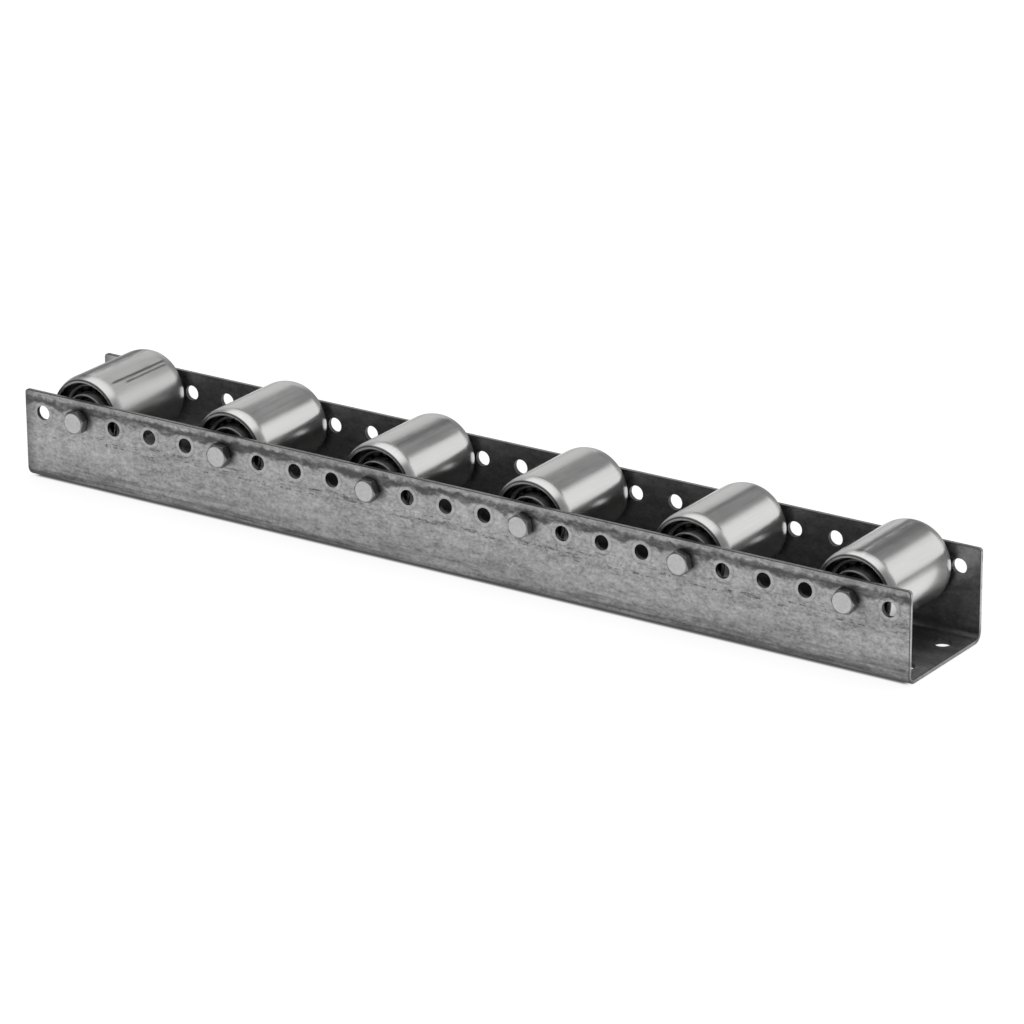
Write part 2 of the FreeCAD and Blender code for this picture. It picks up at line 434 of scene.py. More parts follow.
def topBandAndBoltShade(tree, spot, colour):
    # Dark ragged band between the holes and the top edge, scalloped round the holes
    overHole = remap(tree, spot["fromHole"], *zinc["scallopReach"], zinc["scallop"], 0.0)
    low = plus(tree, zinc["bandLow"], overHole)
    full = plus(tree, low, zinc["bandFade"])
    band = between(tree, spot["wavy"], low, full, *zinc["bandHigh"])
    darkBand = times(tree, band, atLeast(tree, 0.3, spot["patches"]))

    # Painted shade of each bolt head, with some oil, up and to the right of the bolt
    bolt = rollerPlace(tree, spot["place"])
    lean = math2(tree, "COSINE", minus(tree, bolt["Angle"], zinc["shadeAndOilLean"]))
    boltShadeAndOil = times(tree, fading(tree, bolt["Radius"], *zinc["shadeAndOilReach"]),
                   remap(tree, lean, *zinc["shadeAndOilSpread"]), atLeast(tree, 0.5, spot["patches"]))
    darkBand = times(tree, math2(tree, "MAXIMUM", darkBand, boltShadeAndOil), spot["outside"])
    return darkened(tree, colour, darkBand, zinc["bandStrength"])


def ringedHoles(tree, spot, colour):
    # A paler ring round each punched hole, broken up by the mottling, with a thin dark edge
    ringEnd = zinc["haloRadius"] + zinc["haloFade"]
    ring = fading(tree, spot["fromHole"], zinc["haloRadius"], ringEnd)
    localStrength = remap(tree, spot["mottle"], 0.35, 0.65, *zinc["haloStrength"])
    localStrength = math2(tree, "MULTIPLY_ADD", spot["patches"], -zinc["haloSmudged"], localStrength)
    colour = tinted(tree, colour, ring, zinc["pale"], spot["outside"], localStrength)
    edge = math2(tree, "ABSOLUTE", minus(tree, spot["fromHole"], ringEnd))
    edge = remap(tree, edge, *zinc["haloEdgeReach"], zinc["haloEdge"], 0.0)
    return darkened(tree, colour, edge, spot["outside"])


def streaked(tree, spot, colour):
    # Long dark streaks near the fold with faint ones higher up, then the pits
    drawn = stretched(tree, spot["place"], (0.06, 1.0, 1.0))
    streaks = smudgesAt(tree, drawn, Scale=330.0, Cover=0.47, Softness=0.12)
    nearFold = remap(tree, spot["height"], *zinc["streakHeight"], 1.0, zinc["streakAbove"])
    streaks = times(tree, streaks, nearFold, atLeast(tree, 0.3, spot["outside"]))
    colour = darkened(tree, colour, streaks, zinc["streakStrength"])
    colour = darkened(tree, colour, spot["pits"], zinc["pitStrength"])

    # Dashes of dross in a loose row under the holes
    dashes = smudgesAt(tree, drawn, Scale=900.0, Cover=0.46, Softness=0.07, Seed=43.0)
    broken = smudgesAt(tree, spot["place"], Scale=300.0, Cover=0.47, Softness=0.08, Seed=47.0)
    row = between(tree, spot["wavy"], *zinc["dashRow"])
    dashed = times(tree, dashes, broken, times(tree, row, spot["outside"]))
    colour = darkened(tree, colour, dashed, zinc["dashStrength"])

    # Fine scratches that run down the flanges at a slant
    slanted = stretched(tree, spot["place"], (1.0, 1.0, 0.07), zinc["scratchSlant"])
    scratches = smudgesAt(tree, slanted, Scale=1300.0, Cover=0.27, Softness=0.025, Seed=31.0)
    return darkened(tree, colour, scratches, zinc["scratchStrength"])


def paintedTroughShade(tree, spot, colour):
    # Painted shade in the trough, thickest along the folds and weaker towards the open ends
    corner = remap(tree, spot["across"], zinc["cornerStart"], track["innerSide"], zinc["baseShade"], 1.0)
    corner = times(tree, corner, fading(tree, spot["wavy"], *zinc["shadeHeight"]))
    localStrength = remap(tree, spot["along"], *zinc["openEnds"], *zinc["openEndShade"])
    troughShade = times(tree, corner, localStrength)
    fold = times(tree, remap(tree, spot["across"], *zinc["foldAcross"]),
                 fading(tree, spot["height"], *zinc["foldHeight"]))
    troughShade = math2(tree, "MAXIMUM", troughShade, times(tree, fold, zinc["foldShade"]))
    colour = darkened(tree, colour, troughShade, spot["inside"])

    # The sheet is darker towards the left end, and the strip under the top edge is a little darker
    leftEnd = remap(tree, spot["x"], channelLow.x, channelLow.x + zinc["leftShade"], zinc["leftDarkening"], 0.0)
    colour = darkened(tree, colour, leftEnd)
    underTop = remap(tree, spot["height"], *zinc["topShade"], 1.0, zinc["topDarkening"])
    return mixColour(tree, spot["outside"], colour, mixColour(tree, 1.0, colour, underTop, "MULTIPLY"))


def sheared(tree, spot, colour):
    # Painted light: the sheared top edge is painted darker and the ends brighter; the walls of the holes are
    # dark
    hair = 0.03 * mm
    onTop = math2(tree, "GREATER_THAN", spot["height"], channelHigh.z - hair)
    onEnd = math2(tree, "GREATER_THAN", spot["along"], channelHigh.x - hair)
    shade = math2(tree, "MULTIPLY_ADD", onEnd, zinc["cutEndLight"], 1.0)
    shade = math2(tree, "MULTIPLY_ADD", onTop, zinc["cutTopShade"], shade)
    colour = mixColour(tree, 1.0, colour, shade, "MULTIPLY")
    wall = math2(tree, "LESS_THAN", spot["fromHole"], track["holeRadius"] + hair)
    fromBaseHole = distance(tree, minus(tree, spot["along"], track["baseHoleX"]),
                            minus(tree, spot["across"], track["baseHoleY"]))
    baseWall = math2(tree, "LESS_THAN", fromBaseHole, track["baseHoleRadius"] + hair)
    return tinted(tree, colour, math2(tree, "MAXIMUM", wall, baseWall), zinc["holeWall"])


def zincSheetFinish():
    material, tree, shader, place = newFinish("galvanisedSheet", Metallic=1.0)
    spot = zincSpot(tree, place)
    calm = math2(tree, "MULTIPLY_ADD", spot["inside"], zinc["calmerInside"], zinc["calm"])
    tone = remap(tree, spot["mottle"], minus(tree, 0.5, calm), plus(tree, 0.5, calm), smooth=False)
    low, high = (zinc["body"] * (1 + side * zinc["spread"]) for side in (-1, 1))
    colour = mixColour(tree, tone, grey(low), grey(high))
    for stage in (topBandAndBoltShade, ringedHoles, streaked, paintedTroughShade, sheared):
        colour = stage(tree, spot, colour)
    relief = minus(tree, spot["mottle"], times(tree, spot["pits"], 0.5))
    rough = roughnessFrom(tree, spot["mottle"], zinc["roughness"])
    giveSurface(tree, shader, colour, rough, relief, zinc)
    return material


cutEdge = {"body": 0.15, "burr": 0.06, "rim": 0.40, "rimRadius": 5.2 * mm, "rimFade": 0.8 * mm,
           "roughness": (0.35, 0.5), "relief": 0.2, "reliefDepth": 0.04 * mm}


def cutEdgeFinish():
    # Sheared edges are dark and burred; the rims of the holes are pressed smooth and pale
    material, tree, shader, place = newFinish("cutEdges", Metallic=1.0)
    grain = grainAt(tree, place, Scale=800.0, Contrast=1.6)
    rimEnd = cutEdge["rimRadius"] + cutEdge["rimFade"]
    rim = fading(tree, holePlace(tree, place)["Radius"], cutEdge["rimRadius"], rimEnd)
    colour = mixColour(tree, grain, grey(cutEdge["burr"]), grey(cutEdge["body"]))
    colour = tinted(tree, colour, rim, cutEdge["rim"])
    rough = roughnessFrom(tree, grain, cutEdge["roughness"])
    giveSurface(tree, shader, colour, rough, grain, cutEdge)
    return material


rollerSteel = {
    "body": 0.78,
    "worn": 0.66,
    "warm": 0.006,
    "grainRange": (0.25, 0.75),  # what is all worn and what is all body in the grain
    "speck": 0.3,
    "speckStrength": 0.18,
    "mark": 0.12,
    "crown": 0.92,  # share of the tube's grey
    "crownStart": 24.5 * mm,
    "crownFade": 2 * mm,
    "lip": 0.85,
    "lipRadius": 22.36 * mm,
    "lipEdge": 0.1 * mm,
    "lipStart": 31.0 * mm,
    "lipFade": 0.3 * mm,
    "lipLine": 0.05,
    "lipLineReach": (0.25 * mm, 0.7 * mm),
    "lipLineStrength": 0.9,
    "bore": 0.10,
    "boreRadius": 20.3 * mm,
    "boreFade": 0.3 * mm,
    "roughness": (0.17, 0.25),
    "crownRoughness": 0.3,
    "lipRoughness": 0.5,
    "dullFirst": 0.14,  # the first roller is rougher by this
    "relief": 0.06,
    "reliefDepth": 0.02 * mm,
}

# Lines along single rollers: roller, angle from the top and width in degrees, reach, strength
rollerMarks = [
    (0, 32.5, 3.6, -24 * mm, 28 * mm, 0.95),
    (0, 39, 2.8, -14 * mm, 27 * mm, 0.8),
    (0, -10, 17, -31 * mm, 32 * mm, 0.97),
    (2, 21, 9, -26 * mm, 30 * mm, 0.45),
    (4, 14, 6, -26 * mm, 30 * mm, 0.3),
    (5, 1, 9, -30 * mm, 31 * mm, 0.9),
    (5, 16, 13, -30 * mm, 31 * mm, 0.4),
]


def rollerSteelFinish():
    material, tree, shader, place = newFinish("rollerSteel", Metallic=1.0)
    roller = rollerPlace(tree, place)
    radius = roller["Radius"]
    brushed = grainAt(tree, place, Scale=900.0, Contrast=1.3, Stretch=(1.0, 0.03, 1.0))
    cloud = grainAt(tree, place, Scale=75.0, Contrast=1.2, Stretch=(1.0, 0.45, 1.0), Seed=5.0)
    mix = plus(tree, times(tree, brushed, 0.5), times(tree, cloud, 0.5))
    warm = rollerSteel["warm"]
    colour = mixColour(tree, remap(tree, mix, *rollerSteel["grainRange"], smooth=False),
                       grey(rollerSteel["worn"], warm), grey(rollerSteel["body"], warm))
    specks = smudgesAt(tree, place, Scale=700.0, Cover=0.22, Softness=0.05, Seed=23.0)
    colour = tinted(tree, colour, specks, rollerSteel["speck"], rollerSteel["speckStrength"])
    for number, angle, width, start, end, strength in rollerMarks:
        line = useGroup(tree, axialMark, Vector=place, Angle=roller["Angle"], Number=roller["Number"],
                        Along=roller["Along"], Roller=float(number), At=math.radians(angle),
                        Width=math.radians(width), Start=start, End=end)["Mask"]
        colour = tinted(tree, colour, line, rollerSteel["mark"], strength)

    # The crown is a little duller; the cut face of the lip is dull too, with a dark line where it
    # meets the crown; the bore is painted dark, for oil and for the shade inside the tube's end
    depth = math2(tree, "ABSOLUTE", roller["Along"])
    crownStart, lipStart, boreRadius = (rollerSteel[key] for key in ("crownStart", "lipStart", "boreRadius"))
    lipRadius, lipEdge = rollerSteel["lipRadius"], rollerSteel["lipEdge"]
    onCrown = remap(tree, depth, crownStart, crownStart + rollerSteel["crownFade"])
    crowned = mixColour(tree, 1.0, colour, grey(rollerSteel["crown"]), "MULTIPLY")
    colour = mixColour(tree, onCrown, colour, crowned)
    atEnd = remap(tree, depth, lipStart, lipStart + rollerSteel["lipFade"])
    onLip = times(tree, atEnd, fading(tree, radius, lipRadius - lipEdge, lipRadius + lipEdge))
    colour = tinted(tree, colour, onLip, rollerSteel["lip"])
    lipLine = math2(tree, "ABSOLUTE", minus(tree, radius, lipRadius))
    lipLine = times(tree, atEnd, fading(tree, lipLine, *rollerSteel["lipLineReach"]))
    colour = tinted(tree, colour, lipLine, rollerSteel["lipLine"], rollerSteel["lipLineStrength"])
    inBore = fading(tree, radius, boreRadius, boreRadius + rollerSteel["boreFade"])
    colour = tinted(tree, colour, inBore, rollerSteel["bore"])

    first = math2(tree, "COMPARE", roller["Number"], 0.0, 0.5)
    rough = roughnessFrom(tree, mix, rollerSteel["roughness"])
    rough = math2(tree, "MULTIPLY_ADD", first, rollerSteel["dullFirst"], rough)
    rough = math2(tree, "MAXIMUM", rough, times(tree, onCrown, rollerSteel["crownRoughness"]))
    rough = math2(tree, "MAXIMUM", rough, times(tree, onLip, rollerSteel["lipRoughness"]))
    giveSurface(tree, shader, colour, rough, brushed, rollerSteel)
    return material


ringedSteel = {
    # Each ring grey is a painted highlight on a rim; each rest grey is dark partly as painted shade
    "cone": {"ring": 0.9, "rest": 0.13, "inner": 11.9 * mm, "outer": 14.2 * mm, "hub": 9.8 * mm},
    "cup": {"ring": 0.55, "rest": 0.10, "inner": 15.6 * mm, "outer": 18.2 * mm, "hub": 0.0},
    "ringFade": 0.4 * mm,
    "hubFade": 0.6 * mm,
    "hubShare": 0.5,
    "grease": 0.5,
    "roughness": (0.3, 0.45),
    "relief": 0.1,
    "reliefDepth": 0.03 * mm,
}


def ringedSteelFinish(name, look):
    # A ring of the pressed part is painted pale as a painted highlight on its rim, its hub half as pale; the
    # rest is painted dark, for grease and for the shade inside the bearing
    material, tree, shader, place = newFinish(name, Metallic=1.0)
    radius = rollerPlace(tree, place)["Radius"]
    grain = grainAt(tree, place, Scale=500.0, Contrast=1.3)
    fade = ringedSteel["ringFade"]
    ring = between(tree, radius, look["inner"] - fade, look["inner"], look["outer"], look["outer"] + fade)
    hub = remap(tree, radius, look["hub"] - ringedSteel["hubFade"], look["hub"], ringedSteel["hubShare"], 0.0)
    colour = mixColour(tree, math2(tree, "MAXIMUM", ring, hub), grey(look["rest"]), grey(look["ring"]))
    colour = tinted(tree, colour, grain, look["rest"], ringedSteel["grease"])
    rough = roughnessFrom(tree, grain, ringedSteel["roughness"])
    giveSurface(tree, shader, colour, rough, grain, ringedSteel)
    return material


plainMetals = {
    # The balls are painted near black, for grease and for the shade inside the bearing
    "shadedGreasyBalls": {"body": 0.06, "dark": 0.03, "roughness": (0.35, 0.5), "scale": 500.0, "relief": 0.1},
    "sleeveSteel": {"body": 0.35, "dark": 0.2, "roughness": (0.3, 0.45), "scale": 600.0, "relief": 0.15,
                    "stretch": (1.0, 0.2, 1.0)},
    "platedNut": {"body": 0.54, "dark": 0.40, "roughness": (0.32, 0.46), "scale": 700.0, "relief": 0.2},
    "wornPlating": {"body": 0.42, "dark": 0.26, "roughness": (0.4, 0.5), "scale": 700.0, "relief": 0.2},
}


def plainMetalFinish(name):
    material, tree, shader, place = newFinish(name, Metallic=1.0)
    look = {"stretch": (1.0, 1.0, 1.0), "reliefDepth": 0.03 * mm, **plainMetals[name]}
    grain = grainAt(tree, place, Scale=look["scale"], Contrast=1.3, Stretch=look["stretch"])
    colour = mixColour(tree, grain, grey(look["dark"]), grey(look["body"]))
    rough = roughnessFrom(tree, grain, look["roughness"])
    giveSurface(tree, shader, colour, rough, grain, look)
    return material


# face and side are the greys of the lit face and of the painted shade on the chamfer and sides
boltHead = {"face": 0.61, "side": 0.29, "shank": 0.7, "grease": 0.35, "faceRadius": 5.9 * mm,
            "faceFade": 0.3 * mm, "faceDepth": 4.9 * mm, "roughness": (0.34, 0.46), "relief": 0.3,
            "reliefDepth": 0.04 * mm}


def boltFinish():
    # Painted light and shade: the face of the head is bright, its chamfer and sides are painted dark as
    # shade, with a greasy grain
    material, tree, shader, place = newFinish("platedBolt", Metallic=1.0)
    bolt = rollerPlace(tree, place)
    grain = grainAt(tree, place, Scale=700.0, Contrast=1.3)
    faceRadius = boltHead["faceRadius"]
    onFace = fading(tree, bolt["Radius"], faceRadius - boltHead["faceFade"], faceRadius)
    forward = math2(tree, "LESS_THAN", bolt["Along"], channelLow.y - boltHead["faceDepth"])
    face = times(tree, forward, onFace)
    onHead = math2(tree, "LESS_THAN", bolt["Along"], channelLow.y)
    bright = math2(tree, "MAXIMUM", face, minus(tree, boltHead["shank"], onHead))
    colour = mixColour(tree, bright, grey(boltHead["side"]), grey(boltHead["face"]))
    colour = tinted(tree, colour, grain, boltHead["side"], boltHead["grease"])
    rough = roughnessFrom(tree, grain, boltHead["roughness"])
    giveSurface(tree, shader, colour, rough, grain, boltHead)
    return material


finishes = {
    "channel": zincSheetFinish(),
    "edges": cutEdgeFinish(),
    "tube": rollerSteelFinish(),
    "cup": ringedSteelFinish("cupSteel", ringedSteel["cup"]),
    "cone": ringedSteelFinish("coneSteel", ringedSteel["cone"]),
    "balls": plainMetalFinish("shadedGreasyBalls"),
    "sleeve": plainMetalFinish("sleeveSteel"),
    "bolt": boltFinish(),
    "nut": plainMetalFinish("platedNut"),
    "worn": plainMetalFinish("wornPlating"),
}
for name, node in nodes.items():
    node.data.materials.clear()
    node.data.materials.append(finishes[name.split("_")[-1]])
print("finishes:", len(finishes))


# Small helpers for geometry trees

def newShapeTree(name, inputs):
    tree = bpy.data.node_groups.new(name, "GeometryNodeTree")
    for label, kind in inputs.items():
        tree.interface.new_socket(name=label, in_out="INPUT", socket_type="NodeSocket" + kind)
    tree.interface.new_socket(name="Geometry", in_out="OUTPUT", socket_type="NodeSocketGeometry")
    return tree, addNode(tree, "NodeGroupInput").outputs, addNode(tree, "NodeGroupOutput")


def shape(tree, kind, sockets, **values):
    # A geometry node whose sockets are given by name; what it puts out first is returned
    node = addNode(tree, "GeometryNode" + kind, **values)
    for socket, source in sockets.items():
        for single in source if isinstance(source, list) else [source]:
            plug(tree, single, node, socket)
    return node.outputs[0]


def joined(tree, parts):
    return shape(tree, "JoinGeometry", {"Geometry": parts})


def vector(tree, x=0.0, y=0.0, z=0.0):
    node = addNode(tree, "ShaderNodeCombineXYZ")
    for socket, source in zip("XYZ", (x, y, z)):
        plug(tree, source, node, socket)
    return node.outputs[0]


def moved(tree, geometry, x=0.0, y=0.0, z=0.0):
    return shape(tree, "Transform", {"Geometry": geometry, "Translation": vector(tree, x, y, z)})


sharpAngle = math.radians(25)


def edgesToRound(tree, geometry, share=1.0):
    # Sharp edges are marked for the bevel with their share of its width
    angle = addNode(tree, "GeometryNodeInputMeshEdgeAngle").outputs["Unsigned Angle"]
    weight = times(tree, math2(tree, "GREATER_THAN", angle, sharpAngle), share)
    return shape(tree, "StoreNamedAttribute", {
        "Geometry": geometry, "Name": "bevel_weight_edge", "Value": weight}, domain="EDGE", data_type="FLOAT")


def finishTree(tree, end, geometry, material):
    real = shape(tree, "RealizeInstances", {"Geometry": geometry})
    smooth = shape(tree, "SetShadeSmooth", {"Geometry": real, "Shade Smooth": True})
    coated = shape(tree, "SetMaterial", {"Geometry": smooth, "Material": material})
    plug(tree, coated, end, "Geometry")


def makePiece(name, tree, settings, start, bevel, body, replaced):
    # Runs a tree on a starting mesh, rounds the edges, and keeps the result as a plain mesh
    start.materials.append(bevel["finish"])
    piece = bpy.data.objects.new(name, start)
    bpy.context.scene.collection.objects.link(piece)
    steps = piece.modifiers.new("shape", "NODES")
    steps.node_group = tree
    sockets = {item.name: item.identifier for item in tree.interface.items_tree if item.in_out == "INPUT"}
    for label, value in settings.items():
        steps[sockets[label]] = value
    rounding = piece.modifiers.new("rounding", "BEVEL")
    rounding.width = bevel["width"]
    rounding.segments = bevel["segments"]
    rounding.limit_method = "WEIGHT"
    rounding.use_clamp_overlap = False
    rounding.material = 0
    piece.modifiers.new("shading", "WEIGHTED_NORMAL")
    graph = bpy.context.evaluated_depsgraph_get()
    finished = bpy.data.meshes.new_from_object(piece.evaluated_get(graph))
    piece.modifiers.clear()
    piece.data = finished
    finished.name = name
    finished.materials[0] = bevel["finish"]
    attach(piece, body)
    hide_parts(*replaced)
    print(name, "made,", len(finished.polygons), "faces,", [used.name for used in finished.materials])


# Channel: a strip of sheet folded along a path, cut to length, then perforated

def foldedSheetTree():
    tree, given, end = newShapeTree("foldedSheet", {
        "Length": "Float", "Width": "Float", "Height": "Float", "Sheet": "Float", "Inside Radius": "Float",
        "Corner Radius": "Float", "Hole Diameter": "Float", "Hole Pitch": "Float", "Hole Count": "Int",
        "Hole Height": "Float", "Base Hole Diameter": "Float", "Base Hole Spacing": "Float",
        "Round Steps": "Int", "Hole Sides": "Int", "Rim Share": "Float", "Material": "Material"})
    halfSheet = times(tree, given["Sheet"], 0.5)
    side = minus(tree, times(tree, given["Width"], 0.5), halfSheet)
    otherSide = times(tree, side, -1.0)
    beyondTop = plus(tree, given["Height"], given["Sheet"])
    beyondEnds = math2(tree, "MULTIPLY_ADD", given["Sheet"], 2.0, given["Length"])

    corners = shape(tree, "CurvePrimitiveQuadrilateral", {
        "Point 1": vector(tree, 0.0, otherSide, beyondTop),
        "Point 2": vector(tree, 0.0, otherSide, halfSheet),
        "Point 3": vector(tree, 0.0, side, halfSheet),
        "Point 4": vector(tree, 0.0, side, beyondTop)}, mode="POINTS")
    openPath = shape(tree, "SetSplineCyclic", {"Geometry": corners, "Cyclic": False})
    bendRadius = plus(tree, given["Inside Radius"], halfSheet)
    path = shape(tree, "FilletCurve", {
        "Curve": openPath, "Radius": bendRadius, "Count": given["Round Steps"]}, mode="POLY")
    strip = shape(tree, "CurvePrimitiveQuadrilateral", {"Width": beyondEnds, "Height": given["Sheet"]})
    folded = shape(tree, "CurveToMesh", {"Curve": path, "Profile Curve": strip, "Fill Caps": True})

    # The side view, with the top corners rounded, cuts the folded strip to length
    doubleHeight = times(tree, given["Height"], 2.0)
    sideView = shape(tree, "CurvePrimitiveQuadrilateral", {"Width": given["Length"], "Height": doubleHeight})
    rounded = shape(tree, "FilletCurve", {
        "Curve": sideView, "Radius": given["Corner Radius"], "Count": given["Round Steps"]}, mode="POLY")
    crossing = shape(tree, "CurvePrimitiveLine", {
        "Start": vector(tree, y=times(tree, given["Width"], -1.0)),
        "End": vector(tree, y=given["Width"])})
    slab = shape(tree, "CurveToMesh", {"Curve": crossing, "Profile Curve": rounded, "Fill Caps": True})
    cut = shape(tree, "MeshBoolean", {"Mesh 2": [folded, slab]}, operation="INTERSECT", solver="EXACT")

    # Punches, one at each station through both flanges, and four through the base
    gaps = minus(tree, given["Hole Count"], 1.0)
    holeRow = times(tree, gaps, given["Hole Pitch"])
    firstHole = vector(tree, times(tree, holeRow, -0.5), 0.0, given["Hole Height"])
    stations = shape(tree, "MeshLine", {
        "Count": given["Hole Count"], "Start Location": firstHole,
        "Offset": vector(tree, given["Hole Pitch"])})
    flangePunch = shape(tree, "MeshCylinder", {
        "Vertices": given["Hole Sides"], "Radius": times(tree, given["Hole Diameter"], 0.5),
        "Depth": times(tree, given["Width"], 2.0)})
    flangePunches = shape(tree, "InstanceOnPoints", {
        "Points": stations, "Instance": flangePunch, "Rotation": (math.pi / 2, 0.0, 0.0)})
    baseStations = shape(tree, "MeshGrid", {
        "Size X": holeRow, "Size Y": given["Base Hole Spacing"], "Vertices X": 2, "Vertices Y": 2})
    basePunch = shape(tree, "MeshCylinder", {
        "Vertices": given["Hole Sides"], "Radius": times(tree, given["Base Hole Diameter"], 0.5),
        "Depth": times(tree, given["Sheet"], 4.0)})
    basePunches = shape(tree, "InstanceOnPoints", {"Points": baseStations, "Instance": basePunch})
    punches = shape(tree, "RealizeInstances", {"Geometry": joined(tree, [flangePunches, basePunches])})
    punch = addNode(tree, "GeometryNodeMeshBoolean", operation="DIFFERENCE", solver="EXACT")
    plug(tree, cut, punch, "Mesh 1")
    plug(tree, punches, punch, "Mesh 2")
    softer = minus(tree, given["Rim Share"], 1.0)
    share = math2(tree, "MULTIPLY_ADD", punch.outputs["Intersecting Edges"], softer, 1.0)
    marked = edgesToRound(tree, punch.outputs["Mesh"], share)
    finishTree(tree, end, marked, given["Material"])
    return tree


channelSheet = {
    "Length": channelHigh.x - channelLow.x,
    "Width": channelHigh.y - channelLow.y,
    "Height": channelHigh.z,
    "Sheet": 2.5 * mm,
    "Inside Radius": 3.5 * mm,
    "Corner Radius": 2.0 * mm,
    "Hole Diameter": 2 * track["holeRadius"],
    "Hole Pitch": track["holePitch"],
    "Hole Count": track["holeCount"],
    "Hole Height": axleHeight,
    "Base Hole Diameter": 2 * track["baseHoleRadius"],
    "Base Hole Spacing": 2 * track["baseHoleY"],
    "Round Steps": 12,
    "Hole Sides": 64,
    "Rim Share": 0.35,
    "Material": finishes["channel"],
}
channelEdges = {"width": 0.35 * mm, "segments": 3, "finish": finishes["edges"]}
makePiece("foldedChannel", foldedSheetTree(), channelSheet, bpy.data.meshes.new("channelStart"),
          channelEdges, "channel", ["channel"])


# Bolts and nuts: hexagons with turned-off corners, placed on the axles with each one's own turn

fasteners = {
    "turns": [15, 56, 55, 35, 43, 0],
    "acrossFlats": 12.7 * mm,
    "faceDiameter": 11.8 * mm,
    "threadPitch": 25.4 / 18 * mm,
    "threadFlat": 0.15,  # share of the groove's depth that is cut off at the crest and at the root
    "cornerAngle": math.radians(30),
    "coneSides": 64,
    "shankSides": 48,
    "threadSides": 40,
    "rowsPerTurn": 12.0,
}


def hexagonTurnedOff(tree, given, height, faces):
    # A hexagon from 0 to the height, its corners taken off by a cone at the start, or at both ends
    corner = math2(tree, "DIVIDE", given["Across Flats"], 2 * math.cos(math.pi / 6))
    longer = times(tree, height, 2.0)
    hexagon = shape(tree, "MeshCylinder", {"Vertices": 6, "Radius": corner, "Depth": longer})
    hexagon = moved(tree, hexagon, z=times(tree, height, 0.5 if faces == 2 else 0.0))
    face = times(tree, given["Face Diameter"], 0.5)
    fall = math2(tree, "DIVIDE", height, math.tan(fasteners["cornerAngle"]))
    wide = plus(tree, face, fall)
    cones = [shape(tree, "MeshCone", {
        "Vertices": fasteners["coneSides"], "Radius Bottom": bottom, "Radius Top": top, "Depth": height})
        for bottom, top in ((face, wide), (wide, face))[:faces]]
    return shape(tree, "MeshBoolean", {"Mesh 2": [hexagon, *cones]}, operation="INTERSECT", solver="EXACT")


def onAxles(tree, given, geometry):
    # Turns the piece's own Z to the track's Y and by its own angle about the axle
    turn = addNode(tree, "GeometryNodeInputNamedAttribute", data_type="FLOAT")
    turn.inputs["Name"].default_value = "turn"
    back = times(tree, turn.outputs[0], -1.0)
    return shape(tree, "InstanceOnPoints", {
        "Points": given["Geometry"], "Instance": geometry, "Rotation": vector(tree, -math.pi / 2, back)})


def hexBoltTree():
    tree, given, end = newShapeTree("hexBolt", {
        "Geometry": "Geometry", "Across Flats": "Float", "Face Diameter": "Float", "Head Height": "Float",
        "Washer Height": "Float", "Diameter": "Float", "Length": "Float", "Thread Length": "Float",
        "Thread Pitch": "Float", "Thread Depth": "Float", "Tip Chamfer": "Float", "Material": "Material"})
    hexagonHeight = minus(tree, given["Head Height"], given["Washer Height"])
    headTop = times(tree, given["Head Height"], -1.0)
    head = edgesToRound(tree, hexagonTurnedOff(tree, given, hexagonHeight, 1))
    head = moved(tree, head, z=headTop)
    washerDepth = times(tree, given["Washer Height"], 2.0)
    washer = shape(tree, "MeshCylinder", {
        "Vertices": fasteners["coneSides"], "Radius": times(tree, given["Across Flats"], 0.5),
        "Depth": washerDepth})
    washer = moved(tree, washer, z=times(tree, given["Washer Height"], -1.0))

    radius = times(tree, given["Diameter"], 0.5)
    plain = minus(tree, given["Length"], given["Thread Length"])
    shank = shape(tree, "MeshCylinder", {
        "Vertices": fasteners["shankSides"], "Radius": radius, "Depth": plain})
    shank = moved(tree, shank, z=times(tree, plain, 0.5))
    turnCount = math2(tree, "DIVIDE", given["Thread Length"], given["Thread Pitch"])
    rows = times(tree, turnCount, fasteners["rowsPerTurn"])
    thread = shape(tree, "MeshCylinder", {
        "Vertices": fasteners["threadSides"], "Side Segments": rows, "Radius": radius,
        "Depth": given["Thread Length"]})
    middle = math2(tree, "MULTIPLY_ADD", given["Thread Length"], 0.5, plain)
    thread = moved(tree, thread, z=middle)

    # The groove depth follows how far a point is along the thread's own helix
    x, y, z = separated(tree, addNode(tree, "GeometryNodeInputPosition").outputs[0])
    turns = math2(tree, "DIVIDE", math2(tree, "ARCTAN2", y, x), 2 * math.pi)
    along = minus(tree, math2(tree, "DIVIDE", z, given["Thread Pitch"]), turns)
    phase = math2(tree, "FRACT", along)
    flank = math2(tree, "ABSOLUTE", math2(tree, "MULTIPLY_ADD", phase, 2.0, -1.0))

    # Clamping leaves a narrow flat at the crest and at the root
    flat = fasteners["threadFlat"]
    groove = math2(tree, "MULTIPLY_ADD", flank, 1.0 + 2 * flat, -flat, clamp=True)
    threadRadius = minus(tree, radius, times(tree, groove, given["Thread Depth"]))
    fromTip = minus(tree, given["Length"], z)
    tipRadius = plus(tree, minus(tree, radius, given["Tip Chamfer"]), fromTip)
    shrink = math2(tree, "DIVIDE", math2(tree, "MINIMUM", threadRadius, tipRadius), radius)
    cutPlace = vector(tree, times(tree, x, shrink), times(tree, y, shrink), z)
    thread = shape(tree, "SetPosition", {"Geometry": thread, "Position": cutPlace})
    bolt = joined(tree, [head, washer, shank, thread])
    finishTree(tree, end, onAxles(tree, given, bolt), given["Material"])
    return tree


